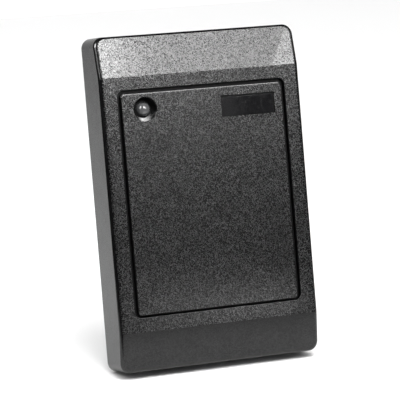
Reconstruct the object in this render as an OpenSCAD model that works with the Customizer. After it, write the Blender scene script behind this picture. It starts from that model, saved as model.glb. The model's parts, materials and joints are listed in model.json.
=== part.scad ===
// Wall-mounted proximity card reader.
// X is to the right as you face it, Y goes back to the wall, Z is up.
// The origin is at the middle of the bounding box's bottom face. Millimetres.

/* [Body] */
// Width of the housing
body_w = 75; // [74:1:80]
// Height of the housing
body_h = 115; // [114:1:124]
// Depth from the wall to the front face
body_d = 15; // [15:0.5:18]
// Radius of the outline's corners
corner_r = 3.5; // [3:0.5:5]
// Radius along the front edges
edge_r = 1; // [0.5:0.1:1.4]
// Thickness of the housing's walls
wall = 2.4; // [2:0.1:2.6]
// Height of the band that slopes back at the top
top_band_h = 14.1; // [12:0.1:16]
// How far the top band slopes back
top_band_drop = 2.7; // [1:0.1:3]
// Height of the band that slopes back at the bottom
bottom_band_h = 13.7; // [12:0.1:16]
// How far the bottom band slopes back
bottom_band_drop = 1.7; // [1:0.1:2.5]

/* [Cover panel] */
// Width of the pocket that holds the cover panel
pocket_w = 63; // [62.6:0.1:63.4]
// Height of the pocket's lower edge above the base
pocket_bottom = 18.6; // [18.2:0.1:19]
// Height of the pocket
pocket_h = 77.8; // [77:0.1:78]
// Depth of the pocket
pocket_d = 2.4; // [2.2:0.1:2.6]
// Gap beside the panel at the left and right
gap_side = 1.3; // [1:0.1:1.4]
// Gap above the panel
gap_top = 1.4; // [1:0.1:1.5]
// Gap below the panel
gap_bottom = 0.8; // [0.6:0.1:1]
// Depth of the groove round the panel
groove_d = 1.3; // [1:0.1:1.5]
// Radius of the well in front of the LED
well_r = 4.2; // [3.8:0.1:4.5]
// Depth of the well's straight wall, before its floor dishes in to the LED
well_d = 1.9; // [1.4:0.1:1.9]
// Width of the label's recess
label_w = 20.4; // [16:0.2:21]
// Height of the label's recess
label_h = 7.4; // [6:0.2:8]

/* [Fixing to the wall] */
// Distance between the two wall screws
wall_screw_pitch = 60; // [60:0.1:60.3]
// Radius of the wall screws' holes
wall_hole_r = 2.25; // [2:0.05:2.3]
// Radius of the hole for the cable in its grommet
cable_hole_r = 2.5; // [2:0.1:2.8]
// How far the tamper plunger moves
plunger_travel = 1; // [0.5:0.1:1]

/* [Hidden] */
$fn = 48;

// Small overlap that lets a cut run past the face it opens
cut = 0.5;

// Depths, from the front face back to the wall
front_y = -body_d / 2;
wall_y = body_d / 2;
plate_t = 2;
plate_y = wall_y - plate_t;
gasket_t = 0.5;
// The housing's rear edge stops short of the wall, so that the plate alone bears on it
rim_y = wall_y - 0.5;
rim_chamfer = 0.3;
floor_y = front_y + pocket_d;
floor_t = 1.6;
inside_y = floor_y + floor_t;
groove_y = front_y + groove_d;

// Heights
mid_z = body_h / 2;
top_kink_z = body_h - top_band_h;
bottom_kink_z = bottom_band_h;
top_slope = atan(top_band_drop / top_band_h);
bottom_slope = atan(bottom_band_drop / bottom_band_h);

// Pocket and panel
pocket_z = pocket_bottom + pocket_h / 2;
pocket_r = 1.6;
pocket_wall = 1.6;
panel_w = pocket_w - 2 * gap_side;
panel_h = pocket_h - gap_top - gap_bottom;
panel_z = pocket_bottom + gap_bottom + panel_h / 2;
panel_r = 0.7;
flange_gap = 0.3;
label_depth = 0.45;
label_t = 0.3;
label_gap = 0.1;
label_r = 0.3;
label_inset = [3, 3.1];
label_x = panel_w / 2 - label_inset[0] - label_w / 2;
label_z = panel_z + panel_h / 2 - label_inset[1] - label_h / 2;

// Rear opening: a thin lip round the plate, and a ledge under the gasket
lip = 1.2;
plate_gap = 0.2;
plate_w = body_w - 2 * lip - 2 * plate_gap;
plate_h = body_h - 2 * lip - 2 * plate_gap;
plate_r = corner_r - lip - plate_gap;
gasket_gap = 0.3;
gasket_w = 0.8;
hollow_w = body_w - 2 * wall;
hollow_h = body_h - 2 * wall;
hollow_r = 1.5;

// Rib on the plate that drops inside the housing's walls
rib_gap = 0.2;
rib_w = 1;
rib_l = 1.2;

// Clearances round the screws
thread_gap = 0.02;
shank_gap = 0.3;
head_gap = 0.2;
head_recess = 0.1;

// Corner bosses and their screws
boss_r = 3.1;
boss_x = body_w / 2 - 4.9;
boss_z = 5.2;
boss_places = [for (x = [-boss_x, boss_x], z = [boss_z, body_h - boss_z]) [x, z]];
back_screw_r = 1;
back_screw_head_r = 2.5;
back_screw_head_t = 1.2;
back_screw_l = 7;

// Pillars round the wall screws
pillar_r = 4;
pillar_head_r = 5.8;
wall_head_r = 4.2;
wall_head_d = 3;
pillar_places = [[0, pocket_z - wall_screw_pitch / 2], [0, pocket_z + wall_screw_pitch / 2]];

// LED
led_r = 2.5;
led_flange_r = 2.9;
led_flange_t = 1;
led_l = 8.6;
led_tip_y = front_y + 0.2;
led_inset = [8.7, 5.55];
led_at = [led_inset[0] - panel_w / 2, panel_z + panel_h / 2 - led_inset[1]];
led_hole_r = 2.65;
led_tube_r = 3.6;
led_pitch = 2.54;
led_lead_places = [for (x = [-1, 1]) led_at + [x * led_pitch / 2, 0]];
lead_w = 0.5;
lead_hole_r = 0.45;
well_hole_r = 2.8;
well_dish = 0.35;

// Circuit board, with its parts on the front side
board_t = 1.6;
board_y = led_tip_y + led_l;
board_back_y = board_y + board_t;
board_w = 55;
board_bottom = 46;
board_top = 95;
post_r = 2.2;
post_places = [for (x = [-24.5, 24.5], z = [50, 70]) [x, z]];
board_screw_r = 0.85;
board_screw_head_r = 1.9;
board_screw_head_t = 1.1;
board_screw_l = 3.5;

// Pegs that hold the cover panel, and their sockets
peg_r = 1.47;
peg_l = 3.7;
peg_slit = 0.6;
socket_r = 1.5;
socket_l = peg_l + 0.2;
socket_wall = 1.1;
peg_places = [for (x = [-23.5, 23.5], z = [25.5, 78]) [x, z]];

// Antenna
former_w = 63.2;
former_bottom = 17.5;
former_top = 97.5;
former_z = (former_bottom + former_top) / 2;
former_h = former_top - former_bottom;
former_depth = 3.6;
former_wall = 1;
former_flange = 0.8;
former_t = 4.4;
former_r = 4;
coil_slack = 0.05;
coil_inset = 0.3;
tab_pin_r = 0.8;
tab_pin_l = 1.6;
tab_x = 26.2;
tab_w = 4;
coil_lead_r = 0.2;
coil_lead_x = 26.4;
coil_leads_z = 83;
coil_lead_places = [coil_leads_z - 1, coil_leads_z + 1];

// Cable outlet in the back plate
outlet = [0, 38];
outlet_r = 4;
grommet_squeeze = 0.05;
grommet_flange_r = 5.2;
grommet_flange_t = 0.8;
grommet_inner_t = 1.1;

// Tamper switch and plunger
tamper = [17, 78];
switch_w = 4.5;
switch_t = 0.7;
button_r = 0.7;
button_t = 0.2;
plunger_r = 1.95;
plunger_hole_r = 2.05;
plunger_flange_r = 2.9;
plunger_flange_t = 0.6;
plunger_front_y = plate_y - plunger_travel - plunger_flange_t;
plunger_bore_r = 1.4;
plunger_stem_r = 0.5;
plunger_roof = 0.8;
spring_r = 1.05;
spring_wire_r = 0.13;
spring_turns = 5;
spring_end_gap = 0.02;

// Parts on the board
mcu_at = [-9, 63];
reader_at = [5, 71];
crystal_at = [-11, 76.5];
buzzer_at = [17, 59];
buzzer_r = 4.5;
buzzer_h = 4.2;
regulator_at = [-20, 60.5];
regulator_l = 3.5;
can_places = [[14.5, 70.5], [11, 79]];
can_r = 2.1;
can_h = 3.6;
can_base_h = 0.8;
header_at = [0, 49.6];
header_h = 4.2;
header_ways = 8;
header_pitch = 2;
pin_places = [for (i = [0 : header_ways - 1])
    header_at + [(i - (header_ways - 1) / 2) * header_pitch, 0]];
diode_places = [[-16.5, 48.6], [16.5, 48.6], [-16.5, 52.6]];
transistor_places = [for (x = [-4, 0, 4]) [x, 55.2]];
resistor_places = [for (i = [0 : 5]) [8 + 2.6 * i, 85], for (i = [0 : 3]) [-19 + 3 * i, 72.5]];
capacitor_places = [for (i = [0 : 4]) [9 + 3.6 * i, 91], for (i = [0 : 2]) [-1.5 + 3 * i, 62]];
chip_w = 7.5;
chip_h = 2.2;
chip_standoff = 0.15;
pin_pitch = 1.27;
chip_lift = 0.1;
leg_t = 0.3;
mcu_pins = 10;
reader_pins = 8;

/* ---- helpers ---- */

// Extrudes a flat shape drawn in X and Z from y0 back to y1
module slab(y0, y1) {
    translate([0, y1, 0]) rotate([90, 0, 0]) linear_extrude(y1 - y0) children();
}

// Rectangle with round corners, centred on [x, z]
module round_rect(at, w, h, r) {
    translate(at) {
        square([w - 2 * r, h], center = true);
        square([w, h - 2 * r], center = true);
        for (x = [-1, 1], z = [-1, 1])
            translate([x * (w / 2 - r), z * (h / 2 - r)]) circle(r);
    }
}

// Round bar or hole that runs from y0 back to y1
module bar(at, r, y0, y1) {
    translate([at[0], y0, at[1]]) rotate([-90, 0, 0]) cylinder(r = r, h = y1 - y0);
}

// Block centred on [x, z] that runs from y0 back to y1
module block(at, w, h, y0, y1) {
    translate([at[0] - w / 2, y0, at[1] - h / 2]) cube([w, y1 - y0, h]);
}

// Pan-head screw that points to the front: its head's underside is at y
module screw(at, y, r, l, head_r, head_t) {
    slot_w = 0.5;
    difference() {
        union() {
            bar(at, r, y - l, y + head_t / 2);
            bar(at, head_r, y, y + head_t);
        }
        for (turn = [0, 90])
            translate([at[0], y + head_t, at[1]]) rotate([0, turn, 0])
                cube([head_r * 1.2, head_t, slot_w], center = true);
    }
}

/* ---- housing ---- */

// Ring that rounds one front corner of the outline
module corner_ring(x, z, y, tilt) {
    translate([x, y, z]) rotate([90 + tilt, 0, 0])
        rotate_extrude($fn = 32) translate([corner_r - edge_r, 0]) circle(edge_r, $fn = 32);
}

// Outside of the housing: the flat face, both sloping bands and all rounded edges
module housing_outside() {
    side = body_w / 2 - corner_r;
    straight_side = 4;
    top_y = front_y + top_band_drop * (top_band_h - corner_r) / top_band_h + edge_r / cos(top_slope);
    base_y = front_y + bottom_band_drop * (bottom_band_h - corner_r) / bottom_band_h
        + edge_r / cos(bottom_slope);
    hull() {
        for (x = [-side, side]) {
            corner_ring(x, body_h - corner_r, top_y, -top_slope);
            corner_ring(x, corner_r, base_y, bottom_slope);
        }
        for (x = [-1, 1], z = [bottom_kink_z, top_kink_z])
            translate([x * (body_w / 2 - edge_r), front_y + edge_r, z]) sphere(edge_r, $fn = 32);
        slab(front_y + straight_side, rim_y - rim_chamfer)
            round_rect([0, mid_z], body_w, body_h, corner_r, $fn = 32);
        slab(rim_y - rim_chamfer, rim_y)
            round_rect([0, mid_z], body_w - 2 * rim_chamfer, body_h - 2 * rim_chamfer,
                corner_r - rim_chamfer, $fn = 32);
    }
}

// Hollow behind the front wall, open at the back
module housing_hollow() {
    low = wall;
    high = body_h - wall;
    top_y = front_y + wall + top_band_drop * (high - top_kink_z) / top_band_h;
    base_y = front_y + wall + bottom_band_drop * (bottom_kink_z - low) / bottom_band_h;
    difference() {
        intersection() {
            slab(front_y, wall_y) round_rect([0, mid_z], hollow_w, hollow_h, hollow_r);
            translate([body_w / 2, 0, 0]) rotate([0, -90, 0]) linear_extrude(body_w)
                polygon([
                    [low, wall_y], [low, base_y], [bottom_kink_z, front_y + wall],
                    [top_kink_z, front_y + wall], [high, top_y], [high, wall_y]
                ]);
        }
        block([0, pocket_z], pocket_w + 2 * pocket_wall, pocket_h + 2 * pocket_wall, front_y, inside_y);
        for (at = boss_places) bar(at, boss_r, front_y, plate_y);
        for (at = pillar_places) {
            bar(at, pillar_r, front_y, plate_y);
            bar(at, pillar_head_r, front_y, board_y);
        }
        for (at = post_places) bar(at, post_r, front_y, board_y);
        for (at = peg_places) bar(at, socket_r + socket_wall, front_y, floor_y + socket_l + 0.8);
        bar(led_at, led_tube_r, front_y, board_y - led_flange_t - 0.5);
        for (x = [-tab_x, tab_x]) bar([x, pocket_z], tab_pin_r, front_y, inside_y + tab_pin_l);
    }
}

module front_housing() {
    color("#1b1b1c") difference() {
        housing_outside();
        housing_hollow();
        slab(front_y - cut, floor_y) round_rect([0, pocket_z], pocket_w, pocket_h, pocket_r);
        slab(plate_y - gasket_t, wall_y)
            round_rect([0, mid_z], body_w - 2 * lip, body_h - 2 * lip, corner_r - lip);
        for (at = pillar_places) {
            bar(at, wall_hole_r, floor_y, wall_y);
            bar(at, wall_head_r, floor_y - cut, floor_y + wall_head_d);
        }
        for (at = boss_places)
            bar(at, back_screw_r + thread_gap, plate_y - back_screw_l + plate_t / 4, wall_y);
        for (at = post_places)
            bar(at, board_screw_r + thread_gap, board_y - board_screw_l, board_y + cut);
        for (at = peg_places) bar(at, socket_r, floor_y - cut, floor_y + socket_l);
        bar(led_at, led_hole_r, floor_y - cut, board_y);
    }
}

// Well in front of the LED: a straight wall, then a floor that dishes in to a round hole
module led_well() {
    bar(led_at, well_r, front_y - cut, front_y + well_d);
    translate([led_at[0], front_y + well_d, led_at[1]]) rotate([-90, 0, 0])
        cylinder(r1 = well_r, r2 = well_hole_r, h = well_dish);
    bar(led_at, well_hole_r, front_y + well_d, floor_y + cut);
}

module cover_panel() {
    flange_w = pocket_w - 2 * flange_gap;
    flange_h = pocket_h - 2 * flange_gap;
    solid_peg = 0.6;
    color("#1f1f20") difference() {
        union() {
            slab(front_y, floor_y) round_rect([0, panel_z], panel_w, panel_h, panel_r);
            slab(groove_y, floor_y) round_rect([0, pocket_z], flange_w, flange_h, pocket_r - flange_gap);
            for (at = peg_places) bar(at, peg_r, groove_y, floor_y + peg_l);
        }
        led_well();
        block([label_x, label_z], label_w, label_h, front_y - cut, front_y + label_depth);
        for (at = peg_places) block(at, peg_slit, 4 * peg_r, floor_y + solid_peg, floor_y + peg_l + cut);
    }
}

module label_plate() {
    color("#101012") slab(front_y + label_depth - label_t, front_y + label_depth)
        round_rect([label_x, label_z], label_w - 2 * label_gap, label_h - 2 * label_gap, label_r);
}

// Broken rib round the back plate's inner side, cut away at the corner bosses
module plate_rib() {
    w = hollow_w - 2 * rib_gap;
    h = hollow_h - 2 * rib_gap;
    difference() {
        slab(plate_y - rib_l, plate_y) round_rect([0, mid_z], w, h, hollow_r - rib_gap);
        slab(plate_y - rib_l - cut, plate_y + cut)
            round_rect([0, mid_z], w - 2 * rib_w, h - 2 * rib_w, hollow_r - rib_gap - rib_w / 2);
        for (at = boss_places) bar(at, boss_r + rib_gap, plate_y - rib_l - cut, plate_y + cut);
    }
}

module back_plate() {
    color("#222224") difference() {
        union() {
            slab(plate_y, wall_y) round_rect([0, mid_z], plate_w, plate_h, plate_r);
            plate_rib();
        }
        for (at = boss_places) {
            bar(at, back_screw_r + shank_gap, plate_y - cut, wall_y + cut);
            bar(at, back_screw_head_r + head_gap, wall_y - back_screw_head_t - head_recess, wall_y + cut);
        }
        for (at = pillar_places) bar(at, wall_hole_r, plate_y - cut, wall_y + cut);
        bar(outlet, outlet_r, plate_y - cut, wall_y + cut);
        bar(outlet, grommet_flange_r + head_gap, wall_y - grommet_flange_t, wall_y + cut);
        bar(tamper, plunger_hole_r, plate_y - cut, wall_y + cut);
    }
}

module back_gasket() {
    w = body_w - 2 * lip - 2 * gasket_gap;
    h = body_h - 2 * lip - 2 * gasket_gap;
    r = corner_r - lip - gasket_gap;
    color("#2e2e30") difference() {
        slab(plate_y - gasket_t, plate_y) round_rect([0, mid_z], w, h, r);
        slab(plate_y - gasket_t - cut, plate_y + cut)
            round_rect([0, mid_z], w - 2 * gasket_w, h - 2 * gasket_w, r - gasket_w / 4);
    }
}

module back_screws() {
    color("silver") for (at = boss_places)
        screw(at, wall_y - back_screw_head_t - head_recess, back_screw_r, back_screw_l,
            back_screw_head_r, back_screw_head_t);
}

module cable_grommet() {
    inner_y = plate_y - grommet_inner_t;
    color("#151515") difference() {
        union() {
            bar(outlet, outlet_r - grommet_squeeze, inner_y, wall_y);
            bar(outlet, grommet_flange_r, wall_y - grommet_flange_t, wall_y);
            bar(outlet, grommet_flange_r, inner_y, plate_y);
        }
        bar(outlet, cable_hole_r, inner_y - cut, wall_y + cut);
    }
}

/* ---- antenna ---- */

// Ring that follows the former's outline, from outer to inner inside its edge
module former_ring(y0, y1, outer, inner) {
    difference() {
        slab(y0, y1)
            round_rect([0, former_z], former_w - 2 * outer, former_h - 2 * outer, former_r - outer);
        slab(y0 - cut, y1 + cut)
            round_rect([0, former_z], former_w - 2 * inner, former_h - 2 * inner, former_r - inner);
    }
}

module coil_former() {
    y0 = inside_y;
    y1 = inside_y + former_t;
    inner = former_depth;
    color("#d8d4c6") difference() {
        union() {
            former_ring(y0, y0 + former_flange, 0, inner);
            former_ring(y1 - former_flange, y1, 0, inner);
            former_ring(y0, y1, inner - former_wall, inner);
            for (x = [-tab_x, tab_x]) block([x, pocket_z], tab_w, tab_w, y0, y0 + former_flange);
        }
        for (x = [-tab_x, tab_x]) bar([x, pocket_z], tab_pin_r + coil_slack, y0 - cut, y1);
        block([former_w / 2 - inner, coil_leads_z], 3 * former_wall, tab_w, y0 + former_flange, y1 + cut);
    }
}

module antenna_coil() {
    color("#b0622e") former_ring(
        inside_y + former_flange + coil_slack, inside_y + former_t - former_flange - coil_slack,
        coil_inset, former_depth - former_wall - coil_slack);
}

// Two wires from the coil through the slot in the former and down to the board
module coil_leads() {
    y = inside_y + former_t - 1.5;
    start_x = former_w / 2 - former_depth + former_wall + coil_slack;
    color("#c06a34") for (z = coil_lead_places) {
        translate([coil_lead_x, y, z]) {
            rotate([0, 90, 0]) cylinder(r = coil_lead_r, h = start_x - coil_lead_x);
            sphere(coil_lead_r);
        }
        bar([coil_lead_x, z], coil_lead_r, y, board_y);
    }
}

/* ---- board and what is on it ---- */

module circuit_board() {
    color("#1f6b3a") difference() {
        block([0, (board_top + board_bottom) / 2], board_w, board_top - board_bottom,
            board_y, board_back_y);
        for (at = post_places) bar(at, board_screw_r + shank_gap, board_y - cut, board_back_y + cut);
        bar(pillar_places[1], pillar_r + shank_gap, board_y - cut, board_back_y + cut);
        for (at = concat(led_lead_places, pin_places))
            bar(at, lead_hole_r, board_y - cut, board_back_y + cut);
    }
}

module board_screws() {
    end_gap = 0.3;
    color("silver") for (at = post_places)
        screw(at, board_back_y, board_screw_r, board_t + board_screw_l - end_gap,
            board_screw_head_r, board_screw_head_t);
}

module status_led() {
    color("#c9ccd0") {
        bar(led_at, led_flange_r, board_y - led_flange_t, board_y);
        bar(led_at, led_r, led_tip_y + led_r, board_y - led_flange_t / 2);
        translate([led_at[0], led_tip_y + led_r, led_at[1]]) sphere(led_r);
    }
}

module led_leads() {
    stub = 1;
    color("silver") for (at = led_lead_places) block(at, lead_w, lead_w, board_y, board_back_y + stub);
}

// Round buzzer with a raised lid and a sound hole in its middle
module buzzer() {
    lid_t = 0.3;
    lid_inset = 0.5;
    hole_r = 1;
    hole_d = 1.2;
    lid_y = board_y - buzzer_h;
    color("#17171a") difference() {
        union() {
            bar(buzzer_at, buzzer_r, lid_y, board_y);
            bar(buzzer_at, buzzer_r - lid_inset, lid_y - lid_t, board_y);
        }
        bar(buzzer_at, hole_r, lid_y - cut, lid_y + hole_d);
    }
}

// Body of a small-outline chip with n pins a side, and the dimple that marks pin 1
module chip_body(at, n) {
    l = n * pin_pitch + 0.1;
    dimple_r = 0.4;
    dimple_d = 0.15;
    dimple_inset = 1;
    back_y = board_y - chip_standoff;
    difference() {
        block(at, chip_w, l, back_y - chip_h, back_y);
        bar(at + [dimple_inset - chip_w / 2, l / 2 - dimple_inset], dimple_r,
            back_y - chip_h - cut, back_y - chip_h + dimple_d);
    }
}

// Gull-wing pins down both long sides of a chip, n a side
module chip_pins(at, n) {
    t = 0.25;
    pin_w = 0.4;
    rise = 1.3;
    reach = 1.3;
    for (side = [-1, 1], i = [0 : n - 1])
        translate([at[0] + side * chip_w / 2, board_y, at[1] + (i - (n - 1) / 2) * pin_pitch])
            mirror([side < 0 ? 1 : 0, 0, 0])
                linear_extrude(pin_w, center = true)
                    polygon([
                        [0, -rise], [0.55, -rise], [0.8, -t], [reach, -t], [reach, 0],
                        [0.6, 0], [0.35, t - rise], [0, t - rise]
                    ]);
}

module microcontroller() {
    color("#202022") chip_body(mcu_at, mcu_pins);
}

module microcontroller_pins() {
    color("silver") chip_pins(mcu_at, mcu_pins);
}

module reader_chip() {
    color("#202022") chip_body(reader_at, reader_pins);
}

module reader_chip_pins() {
    color("silver") chip_pins(reader_at, reader_pins);
}

// Block that stands on the board and rises h from it, with its underside gap above the board
module on_board(at, w, l, h, gap = 0) {
    block(at, w, l, board_y - h, board_y - gap);
}

// Low can with rounded ends on a wider flange
module crystal() {
    can_w = 10.2;
    can_l = 3.8;
    h = 3.4;
    rim = 0.4;
    flange_t = 0.5;
    color("#b8babd") {
        slab(board_y - h, board_y - flange_t / 2) round_rect(crystal_at, can_w, can_l, can_l * 0.45);
        slab(board_y - flange_t, board_y)
            round_rect(crystal_at, can_w + 2 * rim, can_l + 2 * rim, (can_l + 2 * rim) * 0.45);
    }
}

module voltage_regulator() {
    color("#202022") on_board(regulator_at, 6.5, regulator_l, 1.7, chip_lift);
}

module regulator_leads() {
    foot = 1.5;
    z = regulator_l / 2 + foot / 2;
    color("silver") {
        for (x = [-2.3, 0, 2.3]) on_board(regulator_at + [x, -z], 0.7, foot, leg_t);
        on_board(regulator_at + [0, z], 3, foot, leg_t);
    }
}

// Electrolytic capacitors, each with a groove pressed round its can
module capacitor_cans() {
    groove_h = 0.3;
    groove_in = 0.2;
    groove_back_y = board_y - can_base_h - 0.8;
    color("#c4c6c9") for (at = can_places) difference() {
        bar(at, can_r, board_y - can_base_h - can_h, board_y - can_base_h);
        difference() {
            bar(at, can_r + cut, groove_back_y - groove_h, groove_back_y);
            bar(at, can_r - groove_in, groove_back_y - groove_h - cut, groove_back_y + cut);
        }
    }
}

// Square bases of the capacitors, with two corners cut off
module capacitor_bases() {
    w = 2 * can_r + 0.2;
    corner = 1;
    color("#18181a") for (at = can_places) difference() {
        on_board(at, w, w, can_base_h);
        for (x = [-w / 2, w / 2])
            translate([at[0] + x, board_y, at[1] + w / 2]) rotate([0, 45, 0])
                cube([corner, 4 * can_base_h, corner], center = true);
    }
}

module chip_capacitors() {
    color("#b79a6c") for (at = capacitor_places) on_board(at, 2, 1.25, 0.9);
}

module chip_resistors() {
    color("#232326") for (at = resistor_places) on_board(at, 1.25, 2, 0.5);
}

module protection_diodes() {
    color("#26262a") for (at = diode_places) {
        on_board(at, 4.3, 2.6, 2.2, chip_lift);
        on_board(at, 5, 1.4, leg_t);
    }
}

module output_transistors() {
    color("#26262a") for (at = transistor_places) {
        on_board(at, 2.9, 1.3, 1, chip_lift);
        for (leg = [[-0.95, -0.9], [0.95, -0.9], [0, 0.9]]) on_board(at + leg, 0.4, 0.8, leg_t);
    }
}

// Open shroud round the header's pins, with a slot in its lower wall for the plug's latch
module wire_header() {
    w = header_ways * header_pitch + 2;
    l = 4.8;
    shroud_t = 0.7;
    base_t = 1;
    latch_w = 8;
    latch_y = board_y - header_h / 2;
    color("#e6e2d4") difference() {
        on_board(header_at, w, l, header_h);
        block(header_at, w - 2 * shroud_t, l - 2 * shroud_t, board_y - header_h - cut, board_y - base_t);
        block(header_at - [0, l / 2], latch_w, 3 * shroud_t, board_y - header_h - cut, latch_y);
        for (at = pin_places) bar(at, lead_hole_r, board_y - 2 * base_t, board_y + cut);
    }
}

module header_pins() {
    tip_inset = 0.6;
    stub = 0.8;
    color("silver") for (at = pin_places)
        block(at, lead_w, lead_w, board_y - header_h + tip_inset, board_back_y + stub);
}

/* ---- tamper switch ---- */

module tamper_switch() {
    color("#3a3a3d") {
        block(tamper, switch_w, switch_w, board_back_y, board_back_y + switch_t);
        bar(tamper, button_r, board_back_y + switch_t - 0.1, board_back_y + switch_t + button_t);
    }
}

module tamper_plunger() {
    color("#e9e7e0") {
        difference() {
            union() {
                bar(tamper, plunger_r, plunger_front_y, wall_y);
                bar(tamper, plunger_flange_r, plunger_front_y, plunger_front_y + plunger_flange_t);
            }
            bar(tamper, plunger_bore_r, plunger_front_y - cut, wall_y - plunger_roof);
        }
        bar(tamper, plunger_stem_r, plunger_front_y, wall_y - plunger_roof + 0.1);
    }
}

// Coil spring between the switch's body and the roof of the plunger's bore
module tamper_spring() {
    y0 = board_back_y + switch_t + spring_end_gap + spring_wire_r;
    y1 = wall_y - plunger_roof - spring_end_gap - spring_wire_r;
    sides = 6;
    per_turn = 18;
    rings = spring_turns * per_turn;
    points = [for (i = [0 : rings], k = [0 : sides - 1])
        let (turn = 360 * i / per_turn, around = 360 * k / sides,
            radius = spring_r + spring_wire_r * cos(around))
        [
            tamper[0] + radius * cos(turn),
            y0 + (y1 - y0) * i / rings + spring_wire_r * sin(around),
            tamper[1] + radius * sin(turn)
        ]];
    walls = [for (i = [0 : rings - 1], k = [0 : sides - 1])
        let (a = i * sides + k, b = i * sides + (k + 1) % sides)
        [a, b, b + sides, a + sides]];
    ends = [
        [for (k = [sides - 1 : -1 : 0]) k],
        [for (k = [0 : sides - 1]) rings * sides + k]
    ];
    color("#b9bcc0") polyhedron(points, concat(walls, ends));
}

front_housing();
cover_panel();
label_plate();
back_plate();
back_gasket();
back_screws();
cable_grommet();
circuit_board();
board_screws();
coil_former();
antenna_coil();
coil_leads();
status_led();
led_leads();
buzzer();
microcontroller();
microcontroller_pins();
reader_chip();
reader_chip_pins();
crystal();
voltage_regulator();
regulator_leads();
capacitor_cans();
capacitor_bases();
chip_capacitors();
chip_resistors();
protection_diodes();
output_transistors();
wire_header();
header_pins();
tamper_plunger();
tamper_spring();
tamper_switch();
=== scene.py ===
import json
from math import cos, pi, radians, sin, tan

import bmesh
import bpy
from mathutils import Matrix, Vector


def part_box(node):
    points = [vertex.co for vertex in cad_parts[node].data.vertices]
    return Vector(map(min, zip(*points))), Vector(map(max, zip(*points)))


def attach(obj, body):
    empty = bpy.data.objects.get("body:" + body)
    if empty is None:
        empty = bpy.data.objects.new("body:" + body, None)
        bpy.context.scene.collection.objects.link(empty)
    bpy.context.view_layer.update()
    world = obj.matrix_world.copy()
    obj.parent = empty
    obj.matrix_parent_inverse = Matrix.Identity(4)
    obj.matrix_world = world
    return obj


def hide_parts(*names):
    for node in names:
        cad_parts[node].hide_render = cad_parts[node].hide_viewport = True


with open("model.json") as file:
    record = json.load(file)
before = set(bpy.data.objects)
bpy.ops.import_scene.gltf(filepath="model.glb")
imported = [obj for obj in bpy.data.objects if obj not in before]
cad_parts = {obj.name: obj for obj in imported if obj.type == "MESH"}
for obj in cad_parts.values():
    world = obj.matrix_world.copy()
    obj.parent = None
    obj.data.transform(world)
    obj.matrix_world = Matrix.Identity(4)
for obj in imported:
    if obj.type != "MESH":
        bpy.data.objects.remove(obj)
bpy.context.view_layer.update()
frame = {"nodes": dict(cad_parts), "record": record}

MM = 0.001
SCENE = bpy.context.scene

# ---- sizes, in millimetres, from the frame and from the reader's own design ----


def box_mm(node):
    """Lowest and highest corner of a CAD node."""
    low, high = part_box(node)
    return low / MM, high / MM


def middle(node):
    """Middle of a CAD node as seen from the front, as (x, z)."""
    low, high = box_mm(node)
    return (low.x + high.x) / 2, (low.z + high.z) / 2


def mount(name):
    """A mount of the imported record."""
    return next(m for m in frame["record"]["mounts"] if m["name"] == name)


# How far a cutting shape passes the surface that it cuts, and how far a rounded mouth starts in front
# of its surface
CUT = 0.5
SMALL = 0.004

# Housing
HOUSING_LOW, HOUSING_HIGH = box_mm("front_housing")
WIDTH = HOUSING_HIGH.x - HOUSING_LOW.x
HEIGHT = HOUSING_HIGH.z - HOUSING_LOW.z
FRONT = HOUSING_LOW.y
RIM = HOUSING_HIGH.y
MID_Z = HEIGHT / 2
CORNER_R = 3.5
EDGE_SIDE, EDGE_END, EDGE_BACK = 1.6, 0.8, 1.3
WALL = 2.4
TOP_BAND, TOP_DROP = 14.1, 2.7
BOTTOM_BAND, BOTTOM_DROP = 13.7, 1.7
TOP_KINK = HEIGHT - TOP_BAND
BOTTOM_KINK = BOTTOM_BAND
# Where the patch of painted brighter sheen at the right end of the top band begins, at the band's foot and at
# its top
SHEEN_LOW_X, SHEEN_HIGH_X = 0.365 * WIDTH, 0.469 * WIDTH
RIM_CHAMFER = 0.3
REAR_LIP = 1.2
HOLLOW_R = 1.5

# Corners of a rectangle in units of half its size, in order round it
CORNERS = ((1, 1), (-1, 1), (-1, -1), (1, -1))

# Back plate
PLATE_LOW, PLATE_HIGH = box_mm("back_plate")
WALL_Y = PLATE_HIGH.y
PLATE_T = 2
PLATE_Y = WALL_Y - PLATE_T
GASKET_Y = box_mm("back_gasket")[0].y
PLATE_GAP, PLATE_CHAMFER = 0.2, 0.3
PLATE_R = CORNER_R - REAR_LIP - PLATE_GAP
RIB_L, RIB_W, RIB_GAP, RIB_ROOT = 1.2, 1.0, 0.2, 0.2

# Pocket and cover panel
PANEL_LOW, PANEL_HIGH = box_mm("cover_panel")
FLANGE_GAP = 0.3
GAP_SIDE, GAP_TOP, GAP_BOTTOM = 1.3, 1.15, 0.8
POCKET_W = PANEL_HIGH.x - PANEL_LOW.x + 2 * FLANGE_GAP
POCKET_H = PANEL_HIGH.z - PANEL_LOW.z + 2 * FLANGE_GAP
POCKET_LOW = PANEL_LOW.z - FLANGE_GAP
POCKET_Z = POCKET_LOW + POCKET_H / 2
POCKET_R = 2.3
POCKET_D = 2.4
POCKET_RIM = 0.2
POCKET_WALL = 1.6
GROOVE_D = 1.3
FLOOR = FRONT + POCKET_D
INSIDE = FLOOR + POCKET_WALL
PANEL_W = POCKET_W - 2 * GAP_SIDE
PANEL_H = POCKET_H - GAP_TOP - GAP_BOTTOM
PANEL_Z = POCKET_LOW + GAP_BOTTOM + PANEL_H / 2
PANEL_R = 1.4
PANEL_TOP_EDGE, PANEL_SIDE_EDGE, PANEL_BOTTOM_EDGE = 0.6, 0.3, 0.2
PEG_R, PEG_SLIT, PEG_ROOT = 1.47, 0.6, 0.6
PEG_POINT_R, PEG_POINT_L = 1.17, 0.4
PEG_TIP = PANEL_HIGH.y
PEGS = [(x, z) for x in (-23.5, 23.5) for z in (25.5, 78)]
SOCKET_R, SOCKET_WALL, SOCKET_END = 1.5, 1.1, 1.0
SOCKET_GAP = 0.2

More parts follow.
